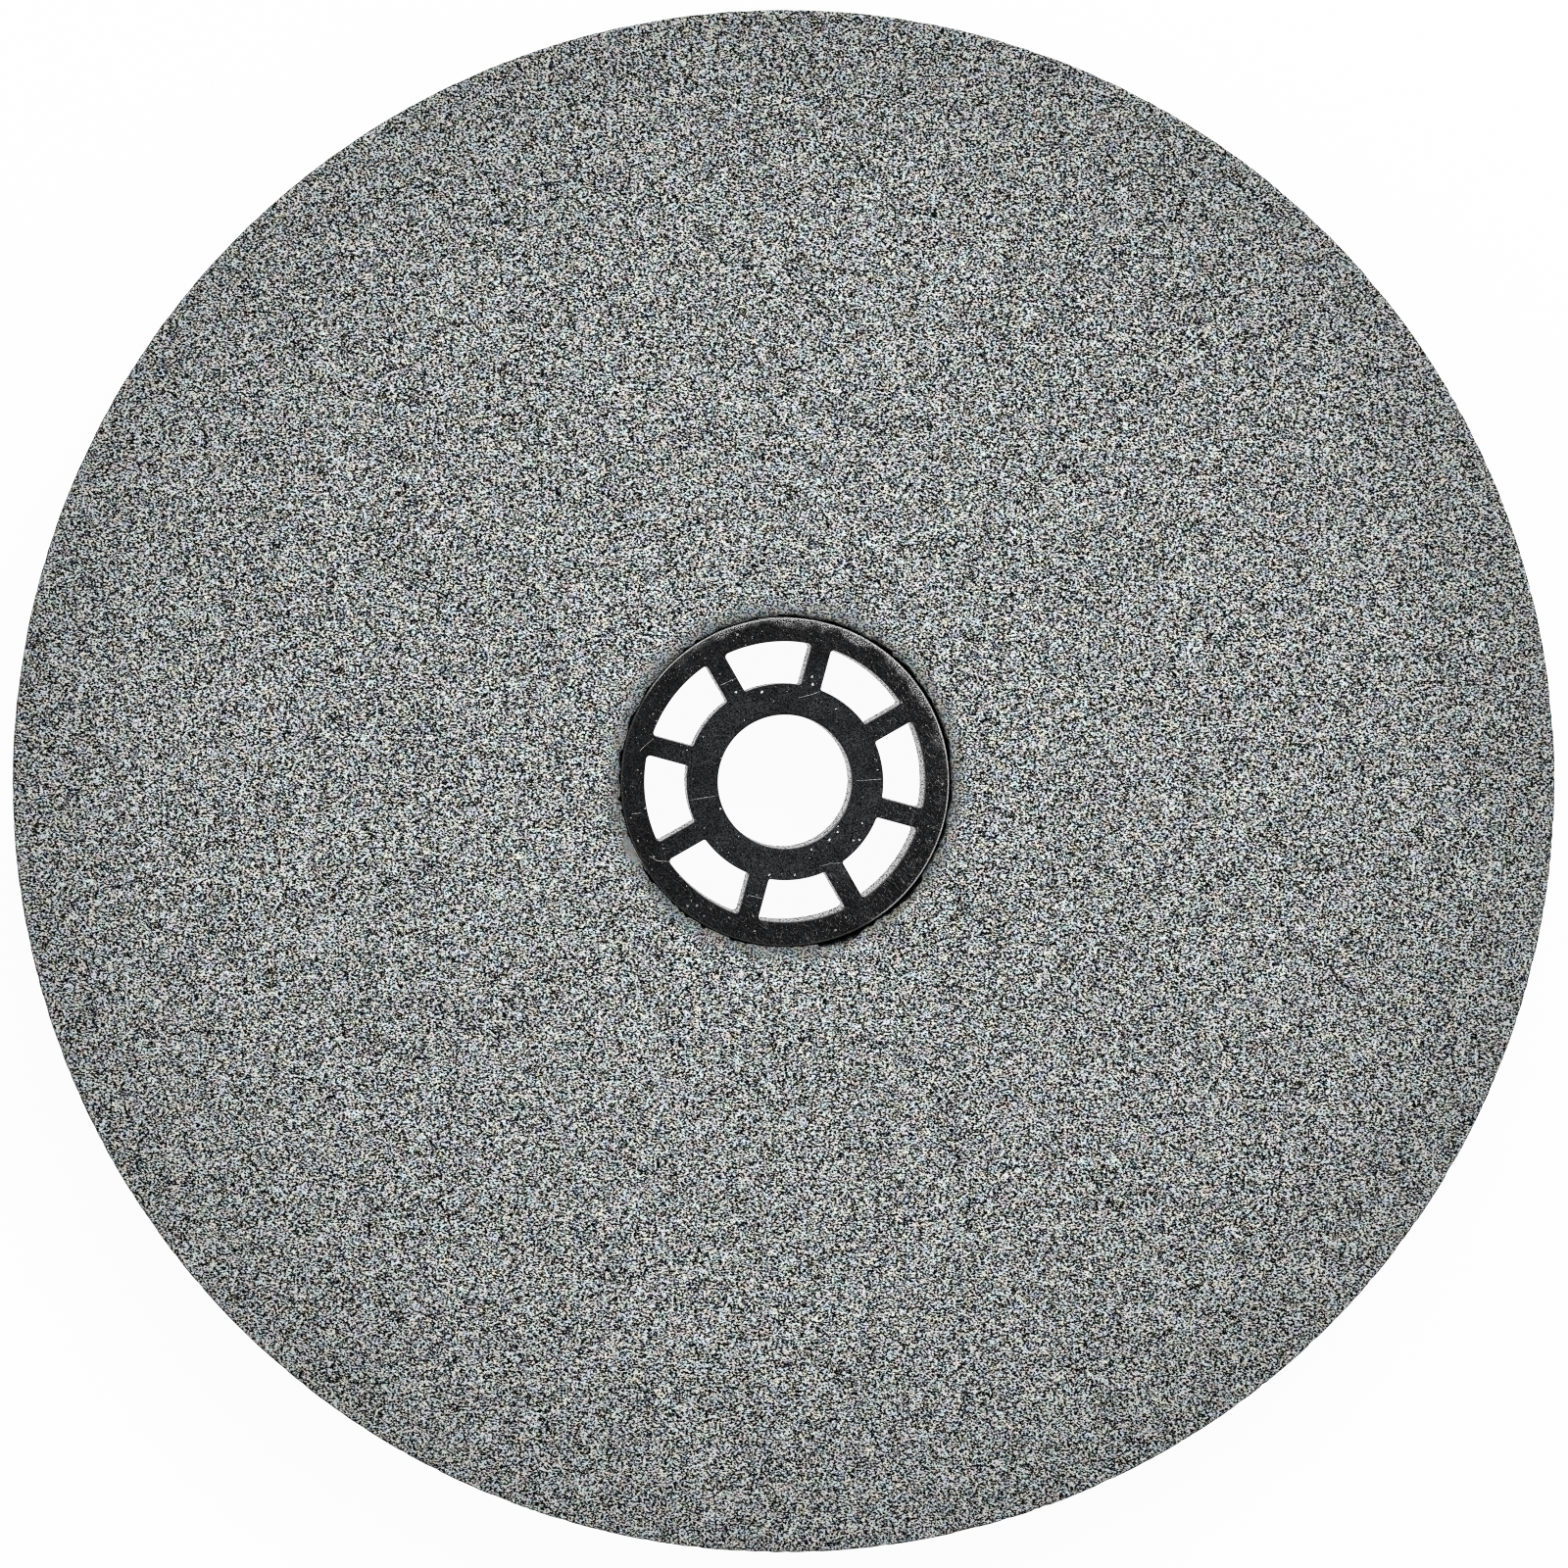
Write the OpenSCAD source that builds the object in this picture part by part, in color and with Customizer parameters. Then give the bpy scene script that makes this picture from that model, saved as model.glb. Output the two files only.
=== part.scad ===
// Bench grinding wheel: a flat disc of bonded abrasive with a moulded spoked bush in its hole.
// The wheel lies on its rear side. +Z runs along the bore towards the front side, and the origin
// is the centre of the bore in the plane of the rear side.

/* [Abrasive wheel] */
// Outside diameter
wheel_d = 150; // [100:1:205]
// Width between the two flat sides
wheel_w = 16; // [12:0.5:25]
// Radius crumbled off the edges of the rim
rim_edge_r = 0.3; // [0.1:0.05:1]
// Radius worn on the edges of the hole
hole_edge_r = 0.6; // [0.1:0.05:1]

/* [Chip at the hole] */
// How far the chip runs into the front side beyond the hole
chip_reach = 0.45; // [0.2:0.05:1]
// Depth of the chip below the front side
chip_depth = 1.2; // [0.5:0.1:3]
// Radius of the curve that the chip broke along
chip_r = 13.6; // [10:0.1:14]
// Direction of the chip from the X axis
chip_turn = -47; // [-180:1:180]

/* [Reducing bush] */
// Outside diameter of the moulding
bush_d = 32; // [31:0.5:40]
// Gap all round between the bush and the hole of the wheel
bush_gap = 0.15; // [0.05:0.05:0.5]
// How far each end of the bush lies below the side of the wheel
bush_recess = 0.5; // [0.1:0.1:1.5]
// Chamfer that leads the bush into the hole
lead_in = 0.25; // [0.1:0.05:0.6]
// Wall of the outer ring
ring_wall = 2.3; // [1.5:0.1:3]
// Wall of the hub round the bore
hub_wall = 3; // [2:0.1:3.5]

/* [Bore] */
// Diameter of the bore, which runs easily on a 12.7 mm spindle
bore_d = 13.1; // [10:0.1:13.5]
// Chamfer at each end of the bore
bore_chamfer = 0.25; // [0.1:0.05:0.6]

/* [Spokes] */
// Number of spokes
spoke_count = 8; // [5:1:10]
// Width of each spoke
spoke_w = 1.9; // [1.2:0.1:2.6]
// Direction of the first spoke from the X axis
spoke_turn = 29.75; // [0:0.25:90]
// Fillet where a spoke runs into the outer ring
ring_fillet_r = 0.4; // [0.2:0.05:0.6]
// Fillet where a spoke runs into the hub
hub_fillet_r = 0.25; // [0.15:0.05:0.4]

/* [Hidden] */
$fn = 192;
wheel_r = wheel_d / 2;
bush_r = bush_d / 2;
hole_r = bush_r + bush_gap;
chip_offset = hole_r + chip_reach - chip_r;
bush_h = wheel_w - 2 * bush_recess;
bore_r = bore_d / 2;
hub_r = bore_r + hub_wall;
window_r = bush_r - ring_wall;
past = 1;
bite = 0.002;

// Rounds one corner of a section. The corner is at the origin, and the material fills the
// quadrant of +X and +Y: the square that is taken off keeps a quarter circle.
module corner_round(r) {
    difference() {
        translate([-past, -past]) square(r + past);
        translate([r, r]) circle(r = r);
    }
}

// Section of the disc on one side of its axis: X is the radius and Y the height.
module wheel_section() {
    difference() {
        translate([hole_r, 0]) square([wheel_r - hole_r, wheel_w]);
        for (top = [0, 1]) {
            translate([hole_r, top * wheel_w]) mirror([0, top]) corner_round(hole_edge_r);
            translate([wheel_r, top * wheel_w]) mirror([0, top]) mirror([1, 0]) corner_round(rim_edge_r);
        }
    }
}

// Crescent broken out of the front edge of the hole: a round scoop that is set off centre.
module hole_chip() {
    rotate(chip_turn)
        translate([chip_offset, 0, wheel_w - chip_depth])
            cylinder(r = chip_r, h = chip_depth + past);
}

module abrasive_wheel() {
    color([0.53, 0.54, 0.54]) difference() {
        rotate_extrude() wheel_section();
        hole_chip();
    }
}

// Section of the solid bush on one side of its axis, with its lead-in and bore chamfers.
module bush_section() {
    polygon([
        [bore_r + bore_chamfer, 0],
        [bush_r - lead_in, 0],
        [bush_r, lead_in],
        [bush_r, bush_h - lead_in],
        [bush_r - lead_in, bush_h],
        [bore_r + bore_chamfer, bush_h],
        [bore_r, bush_h - bore_chamfer],
        [bore_r, bore_chamfer]
    ]);
}

// Fillet on the +Y flank of a spoke that lies along +X. The centre of its arc stands one fillet
// radius off the flank and at reach from the bore's axis. root_r is the ring or hub wall it meets.
// The arc bites a hair past the flank and the wall, so it ends on them and leaves no sliver.
module root_fillet(r, reach, root_r) {
    rise = spoke_w / 2 + r;
    run = sqrt(reach * reach - rise * rise);
    out = (root_r + sign(root_r - reach) * r) / reach;
    difference() {
        polygon([
            [run, rise],
            [run, 0],
            [run * out, 0],
            [run * out, rise * out]
        ]);
        translate([run, rise]) circle(r = r + bite);
    }
}

// Flat outline of one spoke along +X, from the hub to the ring, with the fillets at its roots.
module spoke_outline() {
    translate([0, -spoke_w / 2]) square([bush_r, spoke_w]);
    for (side = [0, 1]) mirror([0, side]) {
        root_fillet(ring_fillet_r, window_r - ring_fillet_r, window_r);
        root_fillet(hub_fillet_r, hub_r + hub_fillet_r, hub_r);
    }
}

// The windows are what the hub, the ring and the spokes leave open.
module windows() {
    difference() {
        circle(r = window_r);
        circle(r = hub_r);
        for (i = [0 : spoke_count - 1])
            rotate(spoke_turn + i * 360 / spoke_count) spoke_outline();
    }
}

module reducing_bush() {
    color([0.13, 0.13, 0.14]) translate([0, 0, bush_recess]) difference() {
        rotate_extrude() bush_section();
        translate([0, 0, -past]) linear_extrude(bush_h + 2 * past) windows();
    }
}

abrasive_wheel();
reducing_bush();
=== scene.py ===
"""Looks of a bench grinding wheel: crumbly vitrified abrasive round a black moulded bush.

The wheel lies on a white table and the camera looks down on its front side. Lengths are in metres,
+Z runs along the bore, and an azimuth is the angle from +X, anticlockwise, in degrees.
"""
import logging
import math
from dataclasses import dataclass
from enum import Enum
from functools import cache, cached_property
from typing import Any, NamedTuple, Sequence

import bmesh
import bpy
import numpy as np
from bpy.types import Material, Node, NodeSocket, NodeTree, Object, World
from mathutils import Matrix, Vector


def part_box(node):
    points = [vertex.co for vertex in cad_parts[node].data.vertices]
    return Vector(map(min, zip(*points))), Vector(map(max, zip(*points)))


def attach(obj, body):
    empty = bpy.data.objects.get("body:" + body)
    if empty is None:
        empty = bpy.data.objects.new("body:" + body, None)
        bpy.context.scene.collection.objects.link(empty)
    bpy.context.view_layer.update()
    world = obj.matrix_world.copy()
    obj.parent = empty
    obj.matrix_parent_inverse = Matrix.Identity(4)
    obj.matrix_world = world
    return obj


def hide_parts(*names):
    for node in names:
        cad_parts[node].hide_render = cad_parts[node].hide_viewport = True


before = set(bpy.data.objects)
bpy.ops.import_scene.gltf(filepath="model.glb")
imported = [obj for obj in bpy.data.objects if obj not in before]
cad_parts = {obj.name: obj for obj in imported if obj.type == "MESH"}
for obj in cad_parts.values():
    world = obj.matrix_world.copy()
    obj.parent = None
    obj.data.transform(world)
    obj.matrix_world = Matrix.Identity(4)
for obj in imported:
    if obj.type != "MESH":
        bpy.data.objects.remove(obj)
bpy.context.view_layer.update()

MM = 0.001
SAME_HEIGHT = 0.1 * MM
FULL_TURN = 2.0 * math.pi
Floats = tuple[float, ...]
Array = np.ndarray
WHITE = (1.0, 1.0, 1.0, 1.0)
log = logging.getLogger("grinding_wheel")

# The hash of a lattice corner: a factor for each axis and for the seed, then two rounds of mixing.
AXIS_FACTORS = np.array([374761393, 668265263, 1103515245])
SEED_FACTOR = 144269504
MIX_ROUNDS = ((13, 1274126177), (16, 2246822519))
LAST_SHIFT = 15
WORD = 0xFFFFFFFF


# Numbers on grids


class Fade(NamedTuple):
    """A smooth change: start up to low, end from high on, and a smooth step between them."""

    low: float
    high: float
    start: float = 0.0
    end: float = 1.0

    def of(self, value: Array) -> Array:
        """Works the change out for an array."""
        t = np.clip((value - self.low) / (self.high - self.low), 0.0, 1.0)
        return self.start + (self.end - self.start) * t * t * (3.0 - 2.0 * t)


def value_noise(points: Array, cell: float, seed: int) -> Array:
    """Smooth random values in space: hashed corners of a cubic lattice, blended by a smooth step.

    Args:
        points: places, one row of x, y, z each.
        cell: side of a lattice cell, in metres.
        seed: picks the random field.

    Returns:
        One value from 0 to 1 for each place.
    """
    scaled = points / cell
    corner = np.floor(scaled).astype(np.int64)
    part = scaled - corner
    part = part * part * (3.0 - 2.0 * part)
    total = np.zeros(len(points))
    for step in np.ndindex(2, 2, 2):
        offset = np.array(step)
        weight = np.prod(np.where(offset == 1, part, 1.0 - part), axis=1)
        total += weight * lattice_hash(corner + offset, seed)
    return total


def lattice_hash(corners: Array, seed: int) -> Array:
    """Random value of each lattice corner: its three whole numbers are mixed as 32-bit words.

    Args:
        corners: whole lattice coordinates, one row each.
        seed: picks the random field.

    Returns:
        One value from 0 to 1 each.
    """
    word = (corners @ AXIS_FACTORS + seed * SEED_FACTOR) & WORD
    for shift, factor in MIX_ROUNDS:
        word = ((word ^ (word >> shift)) * factor) & WORD
    return (word ^ (word >> LAST_SHIFT)) / (WORD + 1.0)


def eased(count: int) -> Array:
    """Steps from 0 up to, not including, 1 that crowd at both ends: half a cosine wave."""
    return 0.5 - 0.5 * np.cos(math.pi * np.arange(count) / count)


def on_circle(angle: Array) -> Array:
    """Points of the unit circle at angles in radians, one row each."""
    return np.stack([np.cos(angle), np.sin(angle)], axis=1)


def grid_quads(rows: int, columns: int, rows_close: bool) -> Array:
    """Four-cornered faces of a grid of points whose columns close on themselves.

    Args:
        rows: number of rows of points.
        columns: number of points in a row.
        rows_close: whether the last row joins the first.

    Returns:
        One row of four point numbers for each face.
    """
    row = np.arange(rows if rows_close else rows - 1)[:, None]
    column = np.arange(columns)[None, :]
    after_row = (row + 1) % rows
    after_column = (column + 1) % columns
    corners = (
        row * columns + column,
        row * columns + after_column,
        after_row * columns + after_column,
        after_row * columns + column,
    )
    return np.stack([c.ravel() for c in corners], axis=1)


def new_piece(
    name: str, points: Array, faces: Sequence[Sequence[int]], finish: Material, **values: Array
) -> Object:
    """Makes a smooth-shaded mesh object from whole arrays and links it to the scene.

    Args:
        name: name of the object and its mesh.
        points: places of the vertices, one row each.
        faces: vertex numbers of each face.
        finish: the material that the object wears.
        values: one number for each vertex, for the material to read by the name given here.

    Returns:
        The object.
    """
    mesh = bpy.data.meshes.new(name)
    mesh.from_pydata(points, [], faces)
    mesh.shade_smooth()
    mesh.materials.append(finish)
    for value_name, numbers in values.items():
        attribute = mesh.attributes.new(value_name, "FLOAT", "POINT")
        attribute.data.foreach_set("value", numbers.astype(np.float32))
    piece = bpy.data.objects.new(name, mesh)
    bpy.context.scene.collection.objects.link(piece)
    return piece


def close_up(piece: Object, *heights: float) -> None:
    """Fills a mesh of upright walls with flat faces, and turns all its faces outward.

    Args:
        piece: the object.
        heights: where its walls are open; none if they are closed.
    """
    work = bmesh.new()
    work.from_mesh(piece.data)
    open_edges = [edge for edge in work.edges if edge.is_boundary]
    for height in heights:
        loops = [edge for edge in open_edges if abs(edge.verts[0].co.z - height) < SAME_HEIGHT]
        made = bmesh.ops.triangle_fill(work, use_beauty=True, edges=loops)
        for item in made["geom"]:
            if isinstance(item, bmesh.types.BMFace):
                item.smooth = False
    bmesh.ops.recalc_face_normals(work, faces=work.faces)
    work.to_mesh(piece.data)
    work.free()


# Shader trees


def emptied(block: Material | World) -> NodeTree:
    """Clears the first nodes away from a material or world.

    Args:
        block: the new material or world.

    Returns:
        Its empty tree.
    """
    block.use_nodes = True
    block.node_tree.nodes.clear()
    return block.node_tree


class ShaderTree:
    """Short calls that add nodes to a material, a world or a node group, and return their sockets."""

    def __init__(self, tree: NodeTree) -> None:
        """Takes the tree that the nodes go into."""
        self.tree = tree

    def add(self, kind: str, links: dict[str, Any] | None = None, **settings: Any) -> Node:
        """Adds a node.

        Args:
            kind: the node's type, such as ShaderNodeMath.
            links: input names, or their numbers as text, with a socket or a plain value each.
            settings: properties of the node itself.

        Returns:
            The node.
        """
        node = self.tree.nodes.new(kind)
        for name, value in settings.items():
            setattr(node, name, value)
        for name, value in (links or {}).items():
            socket = node.inputs[int(name) if name.isdigit() else name]
            if isinstance(value, NodeSocket):
                self.tree.links.new(value, socket)
            else:
                socket.default_value = value
        return node

    def math(self, operation: str, first: Any, *others: Any, clamp: bool = False) -> Any:
        """Adds a sum on numbers.

        Args:
            operation: Blender's name of the sum.
            first: the first value.
            others: further values, with a node for each.
            clamp: whether each result stays between 0 and 1.

        Returns:
            The last node's socket.
        """
        for other in others or (0.0,):
            links = {"0": first, "1": other}
            first = self.add("ShaderNodeMath", links, operation=operation, use_clamp=clamp).outputs[0]
        return first

    def times(self, *values: Any) -> Any:
        """Product of all the values."""
        return self.math("MULTIPLY", *values)

    def most(self, *values: Any) -> Any:
        """Largest of all the values."""
        return self.math("MAXIMUM", *values)

    def line(self, value: Any, slope: Any, base: Any) -> Any:
        """Value times slope plus base."""
        links = {"0": value, "1": slope, "2": base}
        return self.add("ShaderNodeMath", links, operation="MULTIPLY_ADD").outputs[0]

    def vector(self, operation: str, first: Any, second: Any = (0.0, 0.0, 0.0)) -> Any:
        """One sum on vectors."""
        links = {"0": first, "3" if operation == "SCALE" else "1": second}
        return self.add("ShaderNodeVectorMath", links, operation=operation).outputs["Vector"]

    def centred(self, colour: Any) -> Any:
        """A random colour as a vector about zero."""
        return self.vector("SUBTRACT", colour, (0.5, 0.5, 0.5))

    def radius(self, place: Any) -> Any:
        """Distance of place from the axis of the bore."""
        flat = self.vector("MULTIPLY", place, (1.0, 1.0, 0.0))
        return self.add("ShaderNodeVectorMath", {"0": flat}, operation="LENGTH").outputs["Value"]

    def turned(self, place: Any, angle: Any) -> Any:
        """Place turned about the axis of the bore."""
        links = {"Vector": place, "Angle": angle}
        return self.add("ShaderNodeVectorRotate", links, rotation_type="Z_AXIS").outputs[0]

    def fade(self, value: Any, fade: Fade) -> Any:
        """Value after a smooth change."""
        links = dict(zip(("Value", "From Min", "From Max", "To Min", "To Max"), (value, *fade)))
        return self.add("ShaderNodeMapRange", links, interpolation_type="SMOOTHSTEP").outputs["Result"]

    def between(self, share: Any, first: Any, second: Any) -> Any:
        """A number that goes from the first to the second as share goes from 0 to 1."""
        links = {"0": share, "2": first, "3": second}
        return self.add("ShaderNodeMix", links, data_type="FLOAT").outputs[0]

    def mixed(self, share: Any, first: Any, second: Any) -> Any:
        """A colour that goes from the first to the second as share goes from 0 to 1."""
        links = {"0": share, "6": first, "7": second}
        return self.add("ShaderNodeMix", links, data_type="RGBA", clamp_factor=False).outputs[2]

    def either(self, share: Any, first: Node, second: Node) -> Node:
        """A mix of two shaders."""
        links = {"0": share, "1": first.outputs[0], "2": second.outputs[0]}
        return self.add("ShaderNodeMixShader", links)

    def noise(self, place: Any, scale: float, detail: float = 2.0) -> Any:
        """Soft noise, as a number and a colour; scale counts its blobs in one unit of place."""
        return self.add("ShaderNodeTexNoise", {"Vector": place, "Scale": scale, "Detail": detail}).outputs

    def cells(self, place: Any) -> Any:
        """Random cells, one to a unit of place: distance to the cell's middle and a random colour."""
        return self.add("ShaderNodeTexVoronoi", {"Vector": place, "Scale": 1.0}).outputs

    def split(self, colour: Any) -> Any:
        """The three parts of a colour."""
        return self.add("ShaderNodeSeparateColor", {"Color": colour}).outputs

    def seen_directly(self) -> Any:
        """1 for rays that show the background: from the camera, off gloss or through glass."""
        path = self.add("ShaderNodeLightPath").outputs
        return self.most(*(path[f"Is {kind} Ray"] for kind in ("Camera", "Glossy", "Transmission")))


class EffectGroup(ShaderTree):
    """A shader node group with named inputs and outputs."""

    def __init__(self, name: str, inputs: dict[str, str], outputs: dict[str, str]) -> None:
        """Makes the group with its sockets.

        Args:
            name: name of the group.
            inputs: socket names with Float, Vector or Color each.
            outputs: the same for what comes out.
        """
        group = bpy.data.node_groups.new(name, "ShaderNodeTree")
        for way, sockets in (("INPUT", inputs), ("OUTPUT", outputs)):
            for socket, kind in sockets.items():
                group.interface.new_socket(socket, in_out=way, socket_type=f"NodeSocket{kind}")
        super().__init__(group)
        self.given = group.nodes.new("NodeGroupInput").outputs
        self.made = group.nodes.new("NodeGroupOutput").inputs

    def per(self, size: str) -> Any:
        """The place counted in steps of the input that is named size."""
        return self.vector("SCALE", self.given["Place"], self.math("DIVIDE", 1.0, self.given[size]))

    def give(self, **sockets: Any) -> NodeTree:
        """Links the finished sockets to the outputs of the same names.

        Args:
            sockets: names of outputs in lower case, with a socket each.

        Returns:
            The group.
        """
        for name, socket in sockets.items():
            self.tree.links.new(socket, self.made[name.capitalize()])
        return self.tree


@cache
def bonded_grit_group() -> NodeTree:
    """Grains in a bond: a soft noise parts worm-shaped clumps from pores, and random cells are grains.

    The sum of the noise and the grains' own random tones is spread by a smooth step, so that pores
    go black and the faces of grains go white.

    Returns:
        The group. Tone runs from 0, a pore, to 1, a bright grain, and Facet is the grain's normal.
    """
    # The place is squeezed across the key light's direction, so that the grains are drawn out square to it:
    # a painted stand-in for relief shading from that light.
    light_stretch_turn, light_stretch = math.radians(-80.0), (1.0, 0.72, 1.0)
    clumps_in_grain, own_tone, middle, glinting = 0.8, 0.12, 0.475, 0.9
    group = EffectGroup(
        "bonded_grit",
        {"Place": "Vector", "Grain": "Float", "Tilt": "Float", "Spread": "Float"},
        {"Tone": "Float", "Height": "Float", "Facet": "Vector", "Glint": "Float"},
    )
    # painted stand-in for relief shading: grains drawn out square to the key light
    drawn = group.vector("MULTIPLY", group.turned(group.given["Place"], light_stretch_turn), light_stretch)
    scaled = group.vector("SCALE", drawn, group.math("DIVIDE", 1.0, group.given["Grain"]))
    clump = group.noise(scaled, clumps_in_grain, 1.0)[0]
    grain = group.cells(scaled)["Color"]
    parts = group.split(grain)
    raw = group.line(group.math("SUBTRACT", parts[0], 0.5), own_tone, clump)
    low = group.math("SUBTRACT", middle, group.given["Spread"])
    high = group.math("ADD", middle, group.given["Spread"])
    tilted = group.vector("SCALE", group.centred(grain), group.given["Tilt"])
    normal = group.add("ShaderNodeNewGeometry").outputs["Normal"]
    return group.give(
        tone=group.fade(raw, Fade(low, high)),
        height=raw,
        facet=group.vector("NORMALIZE", group.vector("ADD", normal, tilted)),
        glint=group.math("GREATER_THAN", parts[2], glinting),
    )


@cache
def speck_group() -> NodeTree:
    """Fine dust: a ragged dot near the middle of some random cells.

    Returns:
        The group. Amount is the share of cells with a dot, and Specks is 1 in a dot and 0 elsewhere.
    """
    rag_scale, rag_reach, least_size = 5.0, 0.3, 0.35
    group = EffectGroup(
        "dust_specks",
        {"Place": "Vector", "Spacing": "Float", "Amount": "Float", "Size": "Float"},
        {"Specks": "Float"},
    )
    scaled = group.per("Spacing")
    ragged = group.vector("SCALE", group.centred(group.noise(scaled, rag_scale, 1.0)["Color"]), rag_reach)
    cell = group.cells(group.vector("ADD", scaled, ragged))
    parts = group.split(cell["Color"])
    chosen = group.math("LESS_THAN", parts[0], group.given["Amount"])
    reach = group.times(group.given["Size"], group.math("ADD", parts[1], least_size))
    dot = group.math("LESS_THAN", cell["Distance"], reach)
    return group.give(specks=group.times(chosen, dot))


@cache
def radial_streak_group() -> NodeTree:
    """Short marks that run out from the bore: noise over the angle and, much wider, the radius.

    Returns:
        The group. Streaks is a mask from 0 to 1.
    """
    in_a_radian, in_a_metre, sharpness = 150.0, 900.0, 8.0
    group = EffectGroup("radial_streaks", {"Place": "Vector", "Cutoff": "Float"}, {"Streaks": "Float"})
    axes = group.add("ShaderNodeSeparateXYZ", {"Vector": group.given["Place"]}).outputs
    across = group.times(group.math("ARCTAN2", axes["Y"], axes["X"]), in_a_radian)
    along = group.times(group.radius(group.given["Place"]), in_a_metre)
    place = group.add("ShaderNodeCombineXYZ", {"X": across, "Y": along, "Z": axes["Z"]}).outputs[0]
    over = group.math("SUBTRACT", group.noise(place, 1.0, 1.0)[0], group.given["Cutoff"])
    return group.give(streaks=group.math("MULTIPLY", over, sharpness, clamp=True))


@cache
def hairline_group() -> NodeTree:
    """Fine scratches that all run one way: noise squeezed across them and drawn out along them.

    Returns:
        The group. Lines is a mask from 0 to 1.
    """
    length, width, depth, sharpness = 0.75 * MM, 0.07 * MM, 1.0 * MM, 12.0
    inputs = {"Place": "Vector", "Turn": "Float", "Cutoff": "Float"}
    group = EffectGroup("hairlines", inputs, {"Lines": "Float"})
    turned = group.turned(group.given["Place"], group.given["Turn"])
    place = group.vector("MULTIPLY", turned, (1.0 / length, 1.0 / width, 1.0 / depth))
    over = group.math("SUBTRACT", group.noise(place, 1.0, 1.0)[0], group.given["Cutoff"])
    return group.give(lines=group.math("MULTIPLY", over, sharpness, clamp=True))


class Finish(ShaderTree):
    """A material with one Principled shader, and short calls that know the place it shades."""

    name = "finish"
    wander = 2.4 * MM

    @cached_property
    def material(self) -> Material:
        """The material, bare until it is made."""
        return bpy.data.materials.new(self.name)

    @cached_property
    def tree(self) -> NodeTree:
        """The tree that the nodes go into."""
        return emptied(self.material)

    @cached_property
    def place(self) -> Any:
        """The place that is shaded, in the piece's own coordinates."""
        return self.add("ShaderNodeTexCoord").outputs["Object"]

    @cached_property
    def axes(self) -> Any:
        """The coordinates of the place, one by one."""
        return self.add("ShaderNodeSeparateXYZ", {"Vector": self.place}).outputs

    @cached_property
    def from_bore(self) -> Any:
        """Distance of the place from the axis of the bore."""
        return self.radius(self.place)

    def make(self) -> Material:
        """Builds the material.

        Returns:
            The material.
        """
        shader = self.add("ShaderNodeBsdfPrincipled", self.dress())
        self.add("ShaderNodeOutputMaterial", {"Surface": shader.outputs["BSDF"]})
        return self.material

    def dress(self) -> dict[str, Any]:
        """The Principled shader's inputs: a socket or a plain value each."""
        raise NotImplementedError

    def wavy(self, noise: Any) -> Any:
        """Distance from the bore that wanders with a noise, for borders that are no true circles."""
        return self.math("ADD", self.from_bore, self.line(noise, self.wander, -0.5 * self.wander))

    def toward(self, azimuth: float) -> Any:
        """Distance from the bore's axis measured toward an azimuth."""
        turn = math.radians(azimuth)
        return self.line(self.axes["X"], math.cos(turn), self.times(self.axes["Y"], math.sin(turn)))

    def on_side(self, azimuth: float, fade: Fade) -> Any:
        """A smooth change over the distance toward an azimuth."""
        return self.fade(self.toward(azimuth), fade)

    def blobs(self, size: float, detail: float = 2.0) -> Any:
        """Soft noise over the place, whose blobs have a size in metres."""
        return self.noise(self.place, 1.0 / size, detail)[0]

    def stored(self, name: str) -> Any:
        """A number that the mesh keeps for each vertex."""
        return self.add("ShaderNodeAttribute", attribute_name=name).outputs["Fac"]

    def effect(self, group: NodeTree, **values: Any) -> Any:
        """Lays a node group over the place with its own values, named in lower case."""
        links = {"Place": self.place} | {name.capitalize(): value for name, value in values.items()}
        return self.add("ShaderNodeGroup", links, node_tree=group).outputs


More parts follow.
